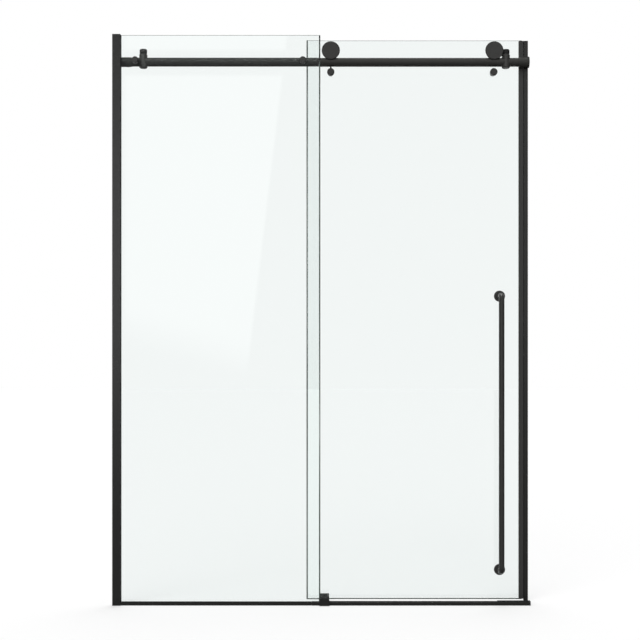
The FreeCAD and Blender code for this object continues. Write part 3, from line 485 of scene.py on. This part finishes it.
# Studio floor: a seamless pale sheet. The camera sees it white, straight on or through the glass,
# apart from the object's shadow, and it throws little light back on the object.
FLOOR_REACH = 14.0
FLOOR_DROP = 0.0005
FLOOR_WHITE = 0.46
FLOOR_PLAIN = 0.16
THROUGH_SHARE = 0.95
floor_mesh = bpy.data.meshes.new("studio_floor")
floor_signs = ((-1, -1), (1, -1), (1, 1), (-1, 1))
floor_corners = [(x * FLOOR_REACH, y * FLOOR_REACH, 0) for x, y in floor_signs]
floor_mesh.from_pydata(floor_corners, [], [(0, 1, 2, 3)])
floor = bpy.data.objects.new("studio_floor", floor_mesh)
bpy.context.scene.collection.objects.link(floor)
floor.location.z = -FLOOR_DROP
paper = Finish(bpy.data.materials.new("floor_paper"))
seen = paper.node("ShaderNodeLightPath", output="Is Camera Ray")
through = paper.node("ShaderNodeLightPath", output="Is Transmission Ray")
seen_white = seen.most(through * THROUGH_SHARE)
sheet = paper.mix(seen_white, grey(FLOOR_PLAIN), grey(FLOOR_WHITE))
matte = paper.node("ShaderNodeBsdfDiffuse", {"Color": sheet})
lift = paper.node("ShaderNodeEmission", {"Color": grey(1.0), "Strength": seen_white * FLOOR_WHITE})
both = paper.node("ShaderNodeAddShader", {0: matte, 1: lift})
paper.node("ShaderNodeOutputMaterial", {"Surface": both})
floor_mesh.materials.append(paper.owner)

# Studio light: a broad ceiling panel, a big softbox in front and even light all round. Glass and
# coats also mirror a slanted softbox behind the camera and one at each side, and what is seen
# directly, through the glass or mirrored from beyond the door is a white backdrop.
AMBIENT = 0.3
DIM_ROOM = 0.05
CAMERA_WALL = 0.1
SLANTED_BOX = 0.6
LEFT_BOX = 2.6
CEILING = 0.25
world = bpy.data.worlds.new("studio")
bpy.context.scene.world = world
room = Finish(world)
ray = room.node("ShaderNodeTexCoord", output="Generated")
side_way = room.node("ShaderNodeSeparateXYZ", {0: ray}, "X")
depth_way = room.node("ShaderNodeSeparateXYZ", {0: ray}, "Y")
up_way = room.node("ShaderNodeSeparateXYZ", {0: ray}, "Z")
# How far to the right and how far up a ray goes for each metre that it goes towards the room.
front = (0.0 - depth_way).most(0.001)
slide = side_way / front
rise = up_way / front
camera_wall = abs(rise).ease(0.36, 0.26) * abs(slide).ease(0.34, 0.22)
slanted_box = (slide - rise * 0.119).ease(-0.0485, -0.0517) * slide.ease(-0.15, -0.143)
slanted_box *= (rise + slide * 0.3).ease(-0.068, -0.026) * abs(rise - 0.193).ease(0.0075, 0.0115)
left_box = slide.ease(-0.8, -0.55) * slide.ease(-0.15, -0.163)
left_box *= rise.ease(-0.25, -0.13) * rise.ease(0.23, 0.1)
right_box = slide.ease(0.8, 0.55) * slide.ease(0.156, 0.168) * rise.ease(-0.32, -0.2)
mirrored = DIM_ROOM + camera_wall * CAMERA_WALL + slanted_box * SLANTED_BOX
mirrored += left_box * LEFT_BOX + right_box + up_way.ease(0.45, 0.85) * CEILING
camera_ray = room.node("ShaderNodeLightPath", output="Is Camera Ray")
glass_ray = room.node("ShaderNodeLightPath", output="Is Transmission Ray")
mirror_ray = room.node("ShaderNodeLightPath", output="Is Glossy Ray")
echoed = room.node("ShaderNodeLightPath", output="Glossy Depth").ease(0.2, 0.8)
through_glass = glass_ray * (1.0 - camera_wall * echoed)
backdrop = through_glass.most(mirror_ray * depth_way.ease(0.7, 0.92))
white = camera_ray.most(backdrop)
glance = glass_ray.most(mirror_ray)
level = white + (1.0 - white) * (glance * mirrored + (1.0 - glance) * AMBIENT)
glow = room.node("ShaderNodeBackground", {"Color": grey(1.0), "Strength": level})
room.node("ShaderNodeOutputWorld", {"Surface": glow})


def lamp(name, strength, size, direction):
    """A broad even light: its strength, its angle across in degrees, and the way towards it."""
    light = bpy.data.lights.new(name, "SUN")
    light.energy = strength
    light.angle = math.radians(size)
    holder = bpy.data.objects.new(name, light)
    holder.rotation_euler = Vector(direction).to_track_quat("Z", "Y").to_euler()
    holder.visible_glossy = False
    bpy.context.scene.collection.objects.link(holder)


lamp("ceiling_panel", strength=1.7, size=24.0, direction=(0.05, 0.22, 1.0))
lamp("front_softbox", strength=2.0, size=50.0, direction=(-0.35, -1.0, 0.75))

# Camera: level, straight in front of the door and 4.5 m away, at half its height, with a 75 mm
# lens.
lens = bpy.data.cameras.new("camera")
lens.lens = 75.0
lens.sensor_width = 36.0
lens.clip_end = 60.0
camera = bpy.data.objects.new("camera", lens)
camera.location = (-0.00495, -4.511, 0.9644)
camera.rotation_euler = (math.pi / 2, 0.0, 0.0)
bpy.context.scene.collection.objects.link(camera)
bpy.context.scene.camera = camera
bpy.context.scene.view_settings.view_transform = "Standard"
